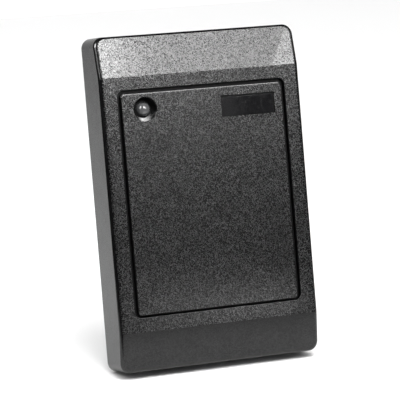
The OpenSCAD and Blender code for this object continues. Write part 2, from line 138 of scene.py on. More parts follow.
# LED and its well
LED_LOW, LED_HIGH = box_mm("status_led")
LED_AT = middle("status_led")
LED_R = 2.5
LED_FLANGE_R = (LED_HIGH.x - LED_LOW.x) / 2
LED_HOLE_R, LED_TUBE_R, LED_TUBE_GAP = 2.65, 3.6, 1.5
LED_FLANGE_T = 1
CUP_FROM_TIP, CUP_FOOT_GAP, CUP_POST_R = 2.6, 0.2, 0.5
CUP_PROFILE = ((0.4, 0.4), (0.85, 0), (1.0, 0), (1.0, 0.7), (CUP_POST_R, 1.2))
THIN_POST_X, THIN_POST_R, THIN_POST_GAP = 1.4, 0.25, 0.2
WELL_R, WELL_D, WELL_DISH, WELL_HOLE_R = 4.2, 1.9, 0.35, 2.95
WELL_RIM = 0.25

# Label and its recess
LABEL_LOW, LABEL_HIGH = box_mm("label_plate")
LABEL_AT = middle("label_plate")
LABEL_GAP = 0.1
RECESS_W = LABEL_HIGH.x - LABEL_LOW.x + 2 * LABEL_GAP
RECESS_H = LABEL_HIGH.z - LABEL_LOW.z + 2 * LABEL_GAP
LABEL_R, LABEL_EDGE, LABEL_SLACK = 0.3, 0.03, 0.6

# Screws, bosses and pillars
BOARD_Y = LED_HIGH.y
SCREWS_LOW, SCREWS_HIGH = box_mm("back_screws")
SCREW_R, SCREW_HEAD_R, SCREW_HEAD_T, SCREW_HEAD_GAP = 1.3, 2.5, 1.3, 0.2
BOSSES = [(x, z) for x in (SCREWS_LOW.x + SCREW_HEAD_R, SCREWS_HIGH.x - SCREW_HEAD_R)
          for z in (SCREWS_LOW.z + SCREW_HEAD_R, SCREWS_HIGH.z - SCREW_HEAD_R)]
BOSS_R, BOSS_HOLE_R, BOSS_HOLE_L = 3.1, 1.02, 6.5
SCREW_PITCH = mount("wall_screws")["dims"]["spacing_y_mm"]
PILLARS = [(0, POCKET_Z - SCREW_PITCH / 2), (0, POCKET_Z + SCREW_PITCH / 2)]
PILLAR_R, PILLAR_HEAD_R = 4.0, 5.8
WALL_HOLE_R = mount("wall_screws")["dims"]["hole_r_mm"]
WALL_HEAD_R, WALL_HEAD_D = 4.2, 3.0
POSTS = [(x, z) for x in (-24.5, 24.5) for z in (50, 70)]
POST_R, POST_HOLE_R, POST_HOLE_L = 2.2, 0.87, 3.5
TAB_PINS = [(-26.2, POCKET_Z), (26.2, POCKET_Z)]
TAB_PIN_R, TAB_PIN_L = 0.8, 1.6

# Cable outlet and tamper plunger
OUTLET = middle("cable_grommet")
OUTLET_R = 4.0
GROMMET_LOW, GROMMET_HIGH = box_mm("cable_grommet")
GROMMET_R = (GROMMET_HIGH.x - GROMMET_LOW.x) / 2
GROMMET_FLANGE, GROMMET_EDGE, GROMMET_GAP = 0.8, 0.3, 0.05
GROMMET_SEAT_GAP = 0.2
CABLE_R = mount("cable_outlet")["dims"]["r_mm"]
TAMPER = middle("tamper_plunger")
TAMPER_HOLE_R = 2.05
TAMPER_SEAT_R, TAMPER_SEAT_D = 3.1, 0.1

# ---- camera ----

AIM = Vector((-4.05, FRONT, 56.74)) * MM
CAMERA_AZIMUTH, CAMERA_ELEVATION, CAMERA_ROLL = radians(23.52), radians(2.352), radians(4.707)
CAMERA_DISTANCE = 0.9317
CAMERA_LENS, CAMERA_SENSOR = 243.66, 36


def make_camera():
    """Long lens to the left of the reader's front and a little above it, rolled to its right."""
    away = Vector((
        -sin(CAMERA_AZIMUTH) * cos(CAMERA_ELEVATION),
        -cos(CAMERA_AZIMUTH) * cos(CAMERA_ELEVATION),
        sin(CAMERA_ELEVATION),
    ))
    level = Vector((0, 0, 1)).cross(away).normalized()
    upright = away.cross(level)
    right = level * cos(CAMERA_ROLL) - upright * sin(CAMERA_ROLL)
    up = away.cross(right)
    data = bpy.data.cameras.new("camera")
    data.lens = CAMERA_LENS
    data.sensor_width = CAMERA_SENSOR
    camera = bpy.data.objects.new("camera", data)
    turn = Matrix((right, up, away)).transposed().to_4x4()
    camera.matrix_world = Matrix.Translation(AIM + away * CAMERA_DISTANCE) @ turn
    SCENE.collection.objects.link(camera)
    SCENE.camera = camera


make_camera()

# ---- mesh building ----

ARC = 16
ROUND = 64


def outline(width, height, radius, at, side_z=()):
    """Points round a rectangle with round corners, from its top right corner round to the left. Its two
    sides also get a point at each height in side_z, which runs downwards."""
    points = []
    for corner, (across, up) in enumerate(CORNERS):
        centre_x = at[0] + across * (width / 2 - radius)
        centre_z = at[1] + up * (height / 2 - radius)
        for step in range(ARC + 1):
            angle = (corner + step / ARC) * pi / 2
            points.append((centre_x + radius * cos(angle), centre_z + radius * sin(angle)))
        if corner == 1:
            points += [(at[0] - width / 2, z) for z in side_z]
    return points + [(at[0] + width / 2, z) for z in reversed(side_z)]


def circle(at, radius, count=ROUND):
    """Points round a circle."""
    turns = [2 * pi * i / count for i in range(count)]
    return [(at[0] + radius * cos(turn), at[1] + radius * sin(turn)) for turn in turns]


def rectangle(at, width, height):
    """Corners of a plain rectangle."""
    return [(at[0] + x * width / 2, at[1] + z * height / 2) for x, z in CORNERS]


def add_loft(bm, sections, caps=True):
    """Adds a skin through sections, each a list of points (x, z) and a depth: a number, or a rule that
    gives the depth at a height. The rows of new vertices come back."""
    rows = []
    for points, depth in sections:
        rows.append([bm.verts.new((x, depth(z) if callable(depth) else depth, z)) for x, z in points])
    for row, after in zip(rows, rows[1:]):
        for i in range(len(row)):
            j = (i + 1) % len(row)
            bm.faces.new((row[i], row[j], after[j], after[i]))
    if caps:
        bm.faces.new(rows[0])
        bm.faces.new(rows[-1])
    return rows


def add_bar(bm, at, *profile):
    """Adds a round solid along Y. Its profile is a list of (radius, depth)."""
    add_loft(bm, [(circle(at, radius), depth) for radius, depth in profile])


def solid(name, build):
    """Object with a closed mesh that build draws, its faces turned outwards."""
    bm = bmesh.new()
    build(bm)
    bmesh.ops.recalc_face_normals(bm, faces=bm.faces)
    mesh = bpy.data.meshes.new(name)
    bm.to_mesh(mesh)
    bm.free()
    piece = bpy.data.objects.new(name, mesh)
    SCENE.collection.objects.link(piece)
    return piece


def freeze(piece):
    """Turns the piece's modifiers into its mesh."""
    graph = bpy.context.evaluated_depsgraph_get()
    mesh = bpy.data.meshes.new_from_object(piece.evaluated_get(graph), depsgraph=graph)
    piece.modifiers.clear()
    piece.data = mesh


def merge(piece, operation, other):
    """Cuts or joins another piece's closed mesh, and uses that piece up."""
    modifier = piece.modifiers.new("merge", "BOOLEAN")
    modifier.operation = operation
    modifier.solver = "EXACT"
    modifier.object = other
    freeze(piece)
    bpy.data.objects.remove(other)


def combine(piece, operation, *builds):
    """Cuts or joins the closed mesh that each build draws, one after the other."""
    for build in builds:
        merge(piece, operation, solid("tool", build))


def carve(piece, *builds):
    combine(piece, "DIFFERENCE", *builds)


def rounded_edge(radius):
    """Steps of a quarter round as (how far in from the side, how far back from the front)."""
    turns = [pi / 2 * i / ARC for i in range(ARC + 1)]
    return [(radius * (1 - cos(turn)), radius * (1 - sin(turn))) for turn in turns]


SHARP_ANGLE = radians(6.5)
# A face whose normal has less than this along Y looks forwards
FORWARD = -0.9
# How far behind the front a face may lie and still be part of it
FLAT = 0.01


def finish(piece, body, slot, *nodes):
    """Scales a piece to metres, sets which of its edges are sharp, and ties it to the frame."""
    mesh = piece.data
    mesh.transform(Matrix.Scale(MM, 4))
    mesh.polygons.foreach_set("use_smooth", [True] * len(mesh.polygons))
    mesh.set_sharp_from_angle(angle=SHARP_ANGLE)
    modifier = piece.modifiers.new("flat faces", "WEIGHTED_NORMAL")
    modifier.keep_sharp = True
    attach(piece, body)
    if nodes:
        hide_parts(*nodes)
    return piece


def paint(piece, materials, rule=None):
    """Gives a piece its materials. The rule picks a face's material from its middle, in millimetres, and
    its normal."""
    piece.data.materials.clear()
    for material in materials:
        piece.data.materials.append(material)
    for face in piece.data.polygons:
        face.material_index = rule(face.center / MM, face.normal) if rule else 0


# ---- materials ----


class Shader:
    """Node tree of a Principled material, with short ways to add what a moulded or metal surface needs."""

    def __init__(self, name, colour, roughness, metallic=0.0, ior=1.5):
        self.material = bpy.data.materials.new(name)
        self.material.use_nodes = True
        self.tree = self.material.node_tree
        self.surface = self.tree.nodes["Principled BSDF"]
        self.surface.inputs["Base Color"].default_value = (*colour, 1)
        self.surface.inputs["Roughness"].default_value = roughness
        self.surface.inputs["Metallic"].default_value = metallic
        self.surface.inputs["IOR"].default_value = ior
        self.place = self.add("ShaderNodeTexCoord").outputs["Object"]

    def add(self, kind, **settings):
        node = self.tree.nodes.new(kind)
        for key, value in settings.items():
            setattr(node, key, value)
        return node

    def link(self, source, target):
        self.tree.links.new(source, target)

    def noise(self, size, detail=2.0, rough=0.5, stretch=(1, 1, 1)):
        """Noise with features about size millimetres across, from 0 to 1."""
        mapping = self.add("ShaderNodeMapping")
        mapping.inputs["Scale"].default_value = stretch
        self.link(self.place, mapping.inputs["Vector"])
        node = self.add("ShaderNodeTexNoise")
        node.inputs["Scale"].default_value = 1 / (size * MM)
        node.inputs["Detail"].default_value = detail
        node.inputs["Roughness"].default_value = rough
        self.link(mapping.outputs["Vector"], node.inputs["Vector"])
        return node.outputs["Fac"]

    def grains(self, size):
        """Mosaic of grains about size millimetres across. Gives a random value for each grain, from 0 to 1,
        and the distance from its middle."""
        node = self.add("ShaderNodeTexVoronoi")
        node.inputs["Scale"].default_value = 1 / (size * MM)
        self.link(self.place, node.inputs["Vector"])
        parts = self.add("ShaderNodeSeparateColor")
        self.link(node.outputs["Color"], parts.inputs["Color"])
        return parts.outputs["Red"], node.outputs["Distance"]

    def remap(self, source, low, high, start=0.3, end=0.7):
        """Carries a value from start to end over to low to high."""
        node = self.add("ShaderNodeMapRange")
        for key, value in (("From Min", start), ("From Max", end), ("To Min", low), ("To Max", high)):
            node.inputs[key].default_value = value
        self.link(source, node.inputs["Value"])
        return node.outputs["Result"]

    def tint(self, source, low, high):
        """Base colour that runs between two colours."""
        node = self.add("ShaderNodeMix", data_type="RGBA")
        node.inputs["A"].default_value = (*low, 1)
        node.inputs["B"].default_value = (*high, 1)
        self.link(source, node.inputs["Factor"])
        self.link(node.outputs["Result"], self.surface.inputs["Base Color"])
        return self

    def vary(self, socket, source, low, high, start=0.3, end=0.7):
        self.link(self.remap(source, low, high, start, end), self.surface.inputs[socket])
        return self

    def bump(self, source, depth, strength=1.0):
        """Relief of depth millimetres, on top of any relief that is already there."""
        node = self.add("ShaderNodeBump")
        node.inputs["Strength"].default_value = strength
        node.inputs["Distance"].default_value = depth * MM
        self.link(source, node.inputs["Height"])
        before = self.surface.inputs["Normal"].links
        if before:
            self.link(before[0].from_socket, node.inputs["Normal"])
        self.link(node.outputs["Normal"], self.surface.inputs["Normal"])
        return self


def black_grain(name, colour, size, start, dull, shine):
    """Black plastic with the fine spark texture of its mould. Its grains are size millimetres across. Each
    has a random value from 0 to 1, and those above start grow from dull to shine."""
    shader = Shader(name, colour, 0.3)
    value, distance = shader.grains(size)
    shader.bump(distance, 0.02)
    shader.vary("Specular IOR Level", value, dull, shine, start, 1)
    shader.vary("Roughness", value, 0.25, 0.37, start, 1)
    shader.tint(shader.remap(shader.noise(0.6), 0, 1), [c * 0.7 for c in colour], [c * 1.5 for c in colour])
    return shader.material


def black_satin(name, colour, roughness=0.2, ior=1.44):
    """Black plastic from a finely blasted part of the mould, with faint unevenness. With a low IOR and more
    roughness, it also serves as painted shade in recesses.
    """
    shader = Shader(name, colour, roughness, ior=ior)
    shader.bump(shader.noise(0.3), 0.003)
    shader.vary("Specular IOR Level", shader.grains(0.42)[0], 0.41, 0.59, 0, 1)
    shader.vary("Roughness", shader.noise(6, detail=4), roughness - 0.04, roughness + 0.04)
    shader.tint(shader.noise(3), [c * 0.85 for c in colour], [c * 1.15 for c in colour])
    return shader.material


def glossy_label():
    """Blank glossy insert with the slight waviness and dust of a printed film."""
    shader = Shader("label_gloss", (0.006, 0.006, 0.0065), 0.12)
    shader.bump(shader.noise(2.5, detail=1), 0.012)
    shader.vary("Roughness", shader.noise(1.2, detail=6, rough=0.7), 0.08, 0.3, 0.45, 0.75)
    return shader.material


def rubber(name, colour):
    shader = Shader(name, colour, 0.7)
    shader.bump(shader.noise(0.35, detail=3), 0.02)
    shader.vary("Roughness", shader.noise(1.5), 0.6, 0.82)
    shader.tint(shader.noise(2), [c * 0.8 for c in colour], [c * 1.3 for c in colour])
    return shader.material


def metal(name, colour, roughness, grain=0.25, depth=0.003, stretch=(1, 1, 1)):
    """Plated or drawn metal with fine scratches and a cloudy finish."""
    shader = Shader(name, colour, roughness, metallic=1.0)
    shader.bump(shader.noise(grain, detail=3, stretch=stretch), depth)
    shader.vary("Roughness", shader.noise(1.2, detail=3), roughness * 0.75, roughness * 1.3)
    shader.tint(shader.noise(0.9), [c * 0.85 for c in colour], [min(c * 1.1, 1) for c in colour])
    return shader.material


def moulded(name, colour, roughness=0.45, grain=0.3, depth=0.008):
    """Plain moulded resin or ceramic."""
    shader = Shader(name, colour, roughness)
    shader.bump(shader.noise(grain, detail=2), depth)
    shader.vary("Roughness", shader.noise(1), roughness - 0.08, roughness + 0.08)
    shader.tint(shader.noise(0.8), [c * 0.85 for c in colour], [min(c * 1.12, 1) for c in colour])
    return shader.material


def board_laminate():
    """Green solder mask over copper tracks, which show as raised lines."""
    shader = Shader("board_laminate", (0.01, 0.09, 0.03), 0.3)
    brick = shader.add("ShaderNodeTexVoronoi", feature="DISTANCE_TO_EDGE", distance="MANHATTAN")
    brick.inputs["Scale"].default_value = 1 / (2.6 * MM)
    brick.inputs["Randomness"].default_value = 0.6
    shader.link(shader.place, brick.inputs["Vector"])
    tracks = shader.remap(brick.outputs["Distance"], 1, 0, 0.06, 0.12)
    shader.tint(tracks, (0.008, 0.07, 0.025), (0.02, 0.17, 0.06))
    shader.bump(tracks, 0.03)
    shader.bump(shader.noise(0.4), 0.004)
    return shader.material


def copper_winding():
    """Enamelled copper wire: its turns show as fine lines round the coil."""
    shader = Shader("copper_wire", (0.62, 0.24, 0.09), 0.3, metallic=1.0)
    lines = shader.add("ShaderNodeTexWave", bands_direction="Y")
    lines.inputs["Scale"].default_value = 1 / (1.3 * MM)
    lines.inputs["Distortion"].default_value = 0.6
    shader.link(shader.place, lines.inputs["Vector"])
    shader.bump(lines.outputs["Fac"], 0.06)
    shader.tint(shader.noise(1.5), (0.5, 0.17, 0.06), (0.7, 0.3, 0.12))
    return shader.material


def clear_epoxy():
    """Water-clear lens with a slightly cloudy body."""
    shader = Shader("led_epoxy", (0.12, 0.122, 0.124), 0.04, ior=1.53)
    shader.surface.inputs["Transmission Weight"].default_value = 0.35
    shader.vary("Roughness", shader.noise(1.5, detail=3), 0.01, 0.04)
    return shader.material


BLACK = (0.0022, 0.0022, 0.0023)
GRAIN = black_grain("housing_grain", BLACK, 0.22, 0.6, 0.34, 1.5)
BAND_GRAIN = black_grain("band_grain", BLACK, 0.26, 0.05, 0.06, 0.82)
# Shinier copy of the band's grain: painted brighter sheen on the right end of the top band
BAND_END_GRAIN_SHEEN = black_grain("band_end_grain_painted_sheen", BLACK, 0.26, 0.05, 0.15, 1.2)
# Duller copy of the satin plastic, with a low IOR and more roughness: it paints shade into the pocket, the
# grooves and the recesses
RECESS_SHADE = black_satin("recess_painted_shade", BLACK, 0.5, 1.2)
SATIN = black_satin("housing_satin", BLACK)
PLATE = black_satin("plate_plastic", (0.016, 0.016, 0.0165), 0.45)
MATERIALS = {
    "housing_plastic": SATIN,
    "plate_plastic": PLATE,
    "label_gloss": glossy_label(),
    "seal_rubber": rubber("seal_rubber", (0.02, 0.02, 0.021)),
    "zinc_steel": metal("zinc_steel", (0.6, 0.61, 0.62), 0.28),
    "board_laminate": board_laminate(),
    "natural_plastic": moulded("natural_plastic", (0.66, 0.62, 0.52)),
    "copper_wire": copper_winding(),
    "led_epoxy": clear_epoxy(),
    "tinned_metal": metal("tinned_metal", (0.66, 0.66, 0.64), 0.33),
    "chip_epoxy": moulded("chip_epoxy", (0.016, 0.016, 0.017), 0.55, 0.15, 0.012),
    "can_metal": metal("can_metal", (0.72, 0.72, 0.73), 0.3, 0.15, 0.002, (1, 12, 1)),
    "chip_ceramic": moulded("chip_ceramic", (0.42, 0.3, 0.17), 0.6),
    "spring_steel": metal("spring_steel", (0.42, 0.42, 0.43), 0.3),
}

for part in frame["record"]["subparts"]:
    mesh = frame["nodes"][part["node"]].data
    mesh.materials.clear()
    mesh.materials.append(MATERIALS[part["material_slot"]])

# ---- housing ----


def front_depth(z):
    """Depth of the front surface at a height: flat, with a band that slopes back at either end."""
    top = max(z - TOP_KINK, 0) * TOP_DROP / TOP_BAND
    bottom = max(BOTTOM_KINK - z, 0) * BOTTOM_DROP / BOTTOM_BAND
    return FRONT + top + bottom


def body_outline(side, end):
    """Outline of the housing, drawn in by side and by end, with points where the bands begin."""
    return outline(WIDTH - 2 * side, HEIGHT - 2 * end, CORNER_R - end, (0, MID_Z), (TOP_KINK, BOTTOM_KINK))


def sheen_edge_x(z):
    """Where the flat patch at the right end of the top band, which is painted with a brighter sheen, begins,
    at a height.
    """
    return SHEEN_LOW_X + (SHEEN_HIGH_X - SHEEN_LOW_X) * (z - TOP_KINK) / TOP_BAND


def split_cap(bm, row):
    """Closes a row of body_outline with one flat face for each band and one between them. The top band's
    face comes back."""
    left = 2 * (ARC + 1)
    right = len(row) - 2
    band = bm.faces.new([row[right + 1], *row[:left + 1]])
    bm.faces.new([row[right + 1], row[left], row[left + 1], row[right]])
    bm.faces.new(row[left + 1:right + 1])
    return band


def draw_shell(bm):
    """Outside of the housing. Its front edges are rounded, more on the sides than at the ends, and its
    rear edge is chamfered."""
    sections = [(body_outline(RIM_CHAMFER, RIM_CHAMFER), RIM), (body_outline(0, 0), RIM - RIM_CHAMFER)]
    for inset, back in rounded_edge(1):
        points = body_outline(EDGE_SIDE * inset, EDGE_END * inset)
        sections.append((points, lambda z, back=EDGE_BACK * back: front_depth(z) + back))
    rows = add_loft(bm, sections, caps=False)
    bm.faces.new(rows[0])
    band = split_cap(bm, rows[-1])
    # Splits the flat top band where its patch of painted sheen begins
    bmesh.ops.bisect_plane(bm, geom=[band, *band.edges, *band.verts], plane_co=(SHEEN_LOW_X, 0, TOP_KINK),
                           plane_no=(TOP_BAND, 0, SHEEN_LOW_X - SHEEN_HIGH_X))


def draw_hollow(bm):
    """Space behind the front wall, which follows the bands."""
    points = outline(WIDTH - 2 * WALL, HEIGHT - 2 * WALL, HOLLOW_R, (0, MID_Z), (TOP_KINK, BOTTOM_KINK))
    rows = add_loft(bm, [(points, WALL_Y + CUT), (points, lambda z: front_depth(z) + WALL)], caps=False)
    bm.faces.new(rows[0])
    split_cap(bm, rows[-1])


def draw_pocket_block(bm):
    """Walls and floor that the pocket leaves inside the housing."""
    points = rectangle((0, POCKET_Z), POCKET_W + 2 * POCKET_WALL, POCKET_H + 2 * POCKET_WALL)
    add_loft(bm, [(points, FRONT - CUT), (points, INSIDE)])


def draw_posts(bm):
    """Bosses, pillars, posts, sockets and the LED's tube that stand inside the housing."""
    for at in BOSSES:
        add_bar(bm, at, (BOSS_R, FRONT - CUT), (BOSS_R, PLATE_Y))
    for at in PILLARS:
        add_bar(bm, at, (PILLAR_HEAD_R, FRONT - CUT), (PILLAR_HEAD_R, BOARD_Y), (PILLAR_R, BOARD_Y),
                (PILLAR_R, PLATE_Y))
    for at in POSTS:
        add_bar(bm, at, (POST_R, FRONT - CUT), (POST_R, BOARD_Y))
    for at in PEGS:
        add_bar(bm, at, (SOCKET_R + SOCKET_WALL, FRONT - CUT), (SOCKET_R + SOCKET_WALL, PEG_TIP + SOCKET_END))
    for at in TAB_PINS:
        add_bar(bm, at, (TAB_PIN_R, FRONT - CUT), (TAB_PIN_R, INSIDE + TAB_PIN_L))
    add_bar(bm, LED_AT, (LED_TUBE_R, FRONT - CUT), (LED_TUBE_R, BOARD_Y - LED_TUBE_GAP))


def rounded_mouth(radius):
    """Steps of a mouth's rounded edge as (how far out from the hole, how far back from the front), which
    start just in front of the surface."""
    turns = [pi / 2 * i / ARC for i in range(ARC + 1)]
    return [(radius * (1 - sin(turn)), radius * (1 - cos(turn)) - SMALL) for turn in turns]


def draw_pocket(bm):
    """Pocket for the cover panel, with a rounded mouth."""
    def ring(out):
        return outline(POCKET_W + 2 * out, POCKET_H + 2 * out, POCKET_R + out, (0, POCKET_Z))
    sections = [(ring(POCKET_RIM), FRONT - CUT)]
    sections += [(ring(out), FRONT + back) for out, back in rounded_mouth(POCKET_RIM)]
    add_loft(bm, sections + [(ring(0), FLOOR)])


def draw_rear_recess(bm):
    points = outline(WIDTH - 2 * REAR_LIP, HEIGHT - 2 * REAR_LIP, CORNER_R - REAR_LIP, (0, MID_Z))
    add_loft(bm, [(points, GASKET_Y), (points, WALL_Y + CUT)])


def draw_housing_holes(bm):
    """Holes for the wall screws with their counterbores, the other screws, the pegs and the LED."""
    for at in PILLARS:
        add_bar(bm, at, (WALL_HEAD_R, FLOOR - CUT), (WALL_HEAD_R, FLOOR + WALL_HEAD_D),
                (WALL_HOLE_R, FLOOR + WALL_HEAD_D), (WALL_HOLE_R, WALL_Y + CUT))
    for at in BOSSES:
        add_bar(bm, at, (BOSS_HOLE_R, PLATE_Y - BOSS_HOLE_L), (BOSS_HOLE_R, WALL_Y))
    for at in POSTS:
        add_bar(bm, at, (POST_HOLE_R, BOARD_Y - POST_HOLE_L), (POST_HOLE_R, BOARD_Y + CUT))
    for at in PEGS:
        add_bar(bm, at, (SOCKET_R, FLOOR - CUT), (SOCKET_R, PEG_TIP + SOCKET_GAP))
    add_bar(bm, LED_AT, (LED_HOLE_R, FLOOR - CUT), (LED_HOLE_R, BOARD_Y))


def make_housing():
    hollow = solid("hollow", draw_hollow)
    carve(hollow, draw_pocket_block, draw_posts)
    piece = solid("housing_shell", draw_shell)
    merge(piece, "DIFFERENCE", hollow)
    carve(piece, draw_pocket, draw_rear_recess, draw_housing_holes)
    finish(piece, "reader_body", "housing_plastic", "front_housing")

    def rule(at, normal):
        in_pocket = abs(at.x) < POCKET_W / 2 and abs(at.z - POCKET_Z) < POCKET_H / 2
        # The pocket's walls and floor get the duller recess plastic, which paints shade into them
        if in_pocket and FRONT + POCKET_RIM < at.y < INSIDE:
            return 3
        if normal.y > FORWARD or at.z < BOTTOM_KINK:
            return 0
        if at.z < TOP_KINK:
            return 1
        # The right end of the top band gets the shinier copy, a painted brighter sheen
        return 4 if at.x > sheen_edge_x(at.z) else 2
    paint(piece, [SATIN, GRAIN, BAND_GRAIN, RECESS_SHADE, BAND_END_GRAIN_SHEEN], rule)


make_housing()

# ---- cover panel, label and LED ----


def draw_panel(bm):
    """Raised panel with rounded front edges, softest along its top."""
    def ring(inset):
        top, side, bottom = (inset * edge for edge in (PANEL_TOP_EDGE, PANEL_SIDE_EDGE, PANEL_BOTTOM_EDGE))
        return outline(PANEL_W - 2 * side, PANEL_H - top - bottom, PANEL_R - side,
                       (0, PANEL_Z + (bottom - top) / 2))
    sections = [(ring(0), FLOOR - CUT)]
    sections += [(ring(inset), FRONT + PANEL_SIDE_EDGE * back) for inset, back in rounded_edge(1)]
    add_loft(bm, sections)


def draw_flange(bm):
    points = outline(POCKET_W - 2 * FLANGE_GAP, POCKET_H - 2 * FLANGE_GAP, POCKET_R - FLANGE_GAP,
                     (0, POCKET_Z))
    add_loft(bm, [(points, FRONT + GROOVE_D), (points, FLOOR)])


def draw_pegs(bm):
    for at in PEGS:
        add_bar(bm, at, (PEG_R, FLOOR - CUT), (PEG_R, PEG_TIP - PEG_POINT_L), (PEG_POINT_R, PEG_TIP))


def draw_slits(bm):
    for at in PEGS:
        points = rectangle(at, PEG_SLIT, 4 * PEG_R)
        add_loft(bm, [(points, FLOOR + PEG_ROOT), (points, PEG_TIP + CUT)])


def draw_well(bm):
    """Well in front of the LED: rounded mouth, straight wall, dished floor and a hole."""
    profile = [(WELL_R + WELL_RIM, FRONT - CUT)]
    profile += [(WELL_R + out, FRONT + back) for out, back in rounded_mouth(WELL_RIM)]
    profile += [(WELL_R, FRONT + WELL_D), (WELL_HOLE_R, FRONT + WELL_D + WELL_DISH),
                (WELL_HOLE_R, FLOOR + CUT)]
    add_bar(bm, LED_AT, *profile)


def draw_recess(bm):
    points = rectangle(LABEL_AT, RECESS_W, RECESS_H)
    add_loft(bm, [(points, FRONT - CUT), (points, LABEL_HIGH.y)])


def make_panel():
    piece = solid("front_panel", draw_panel)
    combine(piece, "UNION", draw_flange, draw_pegs)
    carve(piece, draw_recess, draw_slits, draw_well)
    finish(piece, "front_cover", "housing_plastic", "cover_panel")

    def rule(at, normal):
        # The panel's sides, flange, pegs and label recess get the duller recess plastic, which paints shade
        # into them
        if at.y > FRONT + PANEL_SIDE_EDGE and (at.xz - Vector(LED_AT)).length > WELL_R:
            return 2
        return 1 if normal.y < FORWARD and at.y < FRONT + FLAT else 0
    paint(piece, [SATIN, GRAIN, RECESS_SHADE], rule)


def make_label():
    """Blank insert with softened edges, which lies in the recess's lower left corner."""
    width = LABEL_HIGH.x - LABEL_LOW.x - LABEL_SLACK
    height = LABEL_HIGH.z - LABEL_LOW.z - LABEL_SLACK
    centre = (LABEL_AT[0] - LABEL_SLACK / 2, LABEL_AT[1] - LABEL_SLACK / 2)

    def draw(bm):
        def ring(inset):
            return outline(width - 2 * inset, height - 2 * inset, LABEL_R - inset, centre)
        sections = [(ring(0), LABEL_HIGH.y)]
        sections += [(ring(inset), LABEL_LOW.y + back) for inset, back in rounded_edge(LABEL_EDGE)]
        add_loft(bm, sections)
    piece = solid("label_insert", draw)
    finish(piece, "front_cover", "label_gloss", "label_plate")
    paint(piece, [MATERIALS["label_gloss"]])


def make_led_frame():
    """Metal cup that holds the chip inside the lens, on its post, and the thinner post beside it."""
    rim_y = LED_LOW.y + CUP_FROM_TIP
    cup_profile = [(radius, rim_y + back) for radius, back in CUP_PROFILE]
    foot_y = LED_HIGH.y - CUP_FOOT_GAP

    def draw(bm):
        add_bar(bm, LED_AT, *cup_profile, (CUP_POST_R, foot_y))
        add_bar(bm, (LED_AT[0] + THIN_POST_X, LED_AT[1]), (THIN_POST_R, rim_y + THIN_POST_GAP),
                (THIN_POST_R, foot_y))
    piece = solid("led_cup", draw)
    finish(piece, "reader_body", "tinned_metal")
    paint(piece, [MATERIALS["tinned_metal"]])


def make_led():
    """Clear domed lens with its flange."""
    dome_y = LED_LOW.y + LED_R
    flange_y = LED_HIGH.y - LED_FLANGE_T

    def draw(bm):
        turns = [pi / 2 * i / ARC for i in range(1, ARC + 1)]
        profile = [(LED_R * sin(turn), dome_y - LED_R * cos(turn)) for turn in turns]
        profile += [(LED_R, flange_y), (LED_FLANGE_R, flange_y), (LED_FLANGE_R, LED_HIGH.y)]
        add_bar(bm, LED_AT, *profile)
    piece = solid("led_lens", draw)
    finish(piece, "reader_body", "led_epoxy", "status_led")
    paint(piece, [MATERIALS["led_epoxy"]])


make_panel()
make_label()
make_led()
make_led_frame()

# ---- back plate and grommet ----


def draw_plate(bm):
    """Plate with a small chamfer round the side that lies on the wall."""
    def ring(inset):
        return outline(PLATE_HIGH.x - PLATE_LOW.x - 2 * inset, PLATE_HIGH.z - PLATE_LOW.z - 2 * inset,
                       PLATE_R - inset, (0, MID_Z))
    add_loft(bm, [(ring(0), PLATE_Y), (ring(0), WALL_Y - PLATE_CHAMFER), (ring(PLATE_CHAMFER), WALL_Y)])


def draw_rib(bm):
    """Rib on the plate that runs round just inside the housing's walls."""
    w, h = WIDTH - 2 * WALL - 2 * RIB_GAP, HEIGHT - 2 * WALL - 2 * RIB_GAP
    r = HOLLOW_R - RIB_GAP
    outer = outline(w, h, r, (0, MID_Z))
    inner = outline(w - 2 * RIB_W, h - 2 * RIB_W, r - RIB_W / 2, (0, MID_Z))
    front, back = PLATE_Y - RIB_L, PLATE_Y + RIB_ROOT
    rows = add_loft(bm, [(outer, back), (outer, front), (inner, front), (inner, back)], caps=False)
    count = len(outer)
    for i in range(count):
        j = (i + 1) % count
        bm.faces.new((rows[0][i], rows[0][j], rows[3][j], rows[3][i]))


def draw_rib_gaps(bm):
    for at in BOSSES:
        add_bar(bm, at, (BOSS_R + RIB_GAP, PLATE_Y - RIB_L - CUT), (BOSS_R + RIB_GAP, PLATE_Y + CUT))


def draw_plate_holes(bm):
    """Holes for both kinds of screws, the grommet and the tamper plunger, which has a shallow seat."""
    head_y = WALL_Y - SCREW_HEAD_T
    head_r = SCREW_HEAD_R + SCREW_HEAD_GAP
    for at in BOSSES:
        add_bar(bm, at, (SCREW_R, PLATE_Y - CUT), (SCREW_R, head_y), (head_r, head_y),
                (head_r, WALL_Y + CUT))
    for at in PILLARS:
        add_bar(bm, at, (WALL_HOLE_R, PLATE_Y - CUT), (WALL_HOLE_R, WALL_Y + CUT))
    add_bar(bm, OUTLET, (OUTLET_R, PLATE_Y - CUT), (OUTLET_R, WALL_Y - GROMMET_FLANGE),
            (GROMMET_R + GROMMET_SEAT_GAP, WALL_Y - GROMMET_FLANGE),
            (GROMMET_R + GROMMET_SEAT_GAP, WALL_Y + CUT))
    seat_y = PLATE_Y + TAMPER_SEAT_D
    add_bar(bm, TAMPER, (TAMPER_SEAT_R, PLATE_Y - CUT), (TAMPER_SEAT_R, seat_y), (TAMPER_HOLE_R, seat_y),
            (TAMPER_HOLE_R, WALL_Y + CUT))


def make_plate():
    rib = solid("rib", draw_rib)
    carve(rib, draw_rib_gaps)
    piece = solid("rear_plate", draw_plate)
    merge(piece, "UNION", rib)
    carve(piece, draw_plate_holes)
    finish(piece, "reader_body", "plate_plastic", "back_plate")
    paint(piece, [PLATE])


